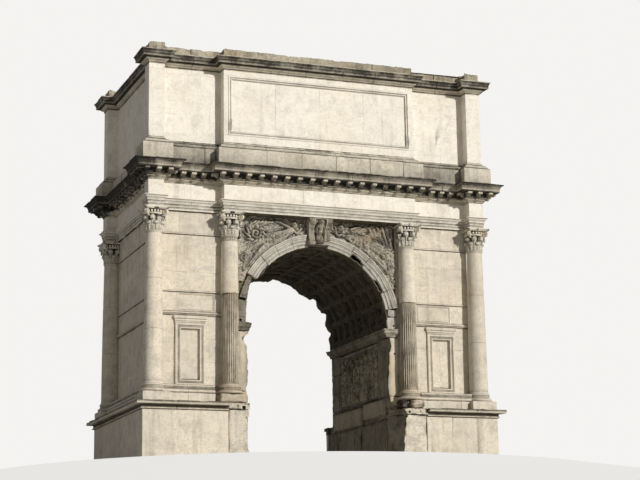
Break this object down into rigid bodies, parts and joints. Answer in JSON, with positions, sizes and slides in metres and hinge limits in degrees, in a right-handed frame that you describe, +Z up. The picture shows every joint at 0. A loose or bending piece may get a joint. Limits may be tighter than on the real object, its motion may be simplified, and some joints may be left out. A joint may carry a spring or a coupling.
{
  "type": "single-bay triumphal arch",
  "caption": "Weathered single-bay triumphal arch with engaged composite columns, a coffered barrel vault, a broken-out entablature and a framed attic.",
  "frame": {"origin": "centre of the footprint at ground level", "axes": "+Z up, -Y towards the main face, +X to the right when facing it; the passage runs along Y"},
  "size_m": [14.38, 8.08, 15.4],
  "materials": {
    "travertine": "weathered travertine blocks, pitted, with dark rain streaks",
    "old_marble": "old carved marble, worn and brown-grey with a patina"
  },
  "bodies": {
    "root": {"podium_left": "travertine", "podium_right": "travertine", "pier_left": "travertine", "pier_right": "travertine", "column_front_left_outer": "travertine", "column_front_left_inner": "old_marble", "column_front_right_inner": "old_marble", "column_front_right_outer": "travertine", "column_back_left_outer": "travertine", "column_back_left_inner": "old_marble", "column_back_right_inner": "old_marble", "column_back_right_outer": "travertine", "capital_front_left_outer": "travertine", "capital_front_left_inner": "old_marble", "capital_front_right_inner": "old_marble", "capital_front_right_outer": "travertine", "capital_back_left_outer": "travertine", "capital_back_left_inner": "old_marble", "capital_back_right_inner": "old_marble", "capital_back_right_outer": "travertine", "impost_left": "old_marble", "impost_right": "old_marble", "vault": "old_marble", "archivolt_front": "old_marble", "archivolt_back": "old_marble", "keystone_front": "old_marble", "keystone_back": "old_marble", "spandrel_front_left": "old_marble", "spandrel_front_right": "old_marble", "spandrel_back_left": "old_marble", "spandrel_back_right": "old_marble", "relief_left": "old_marble", "relief_right": "old_marble", "architrave": "travertine", "frieze": "travertine", "cornice": "travertine", "modillions": "travertine", "attic_plinth": "travertine", "attic": "travertine", "attic_cornice": "travertine", "blocking_course": "travertine"}
  },
  "joints": []
}
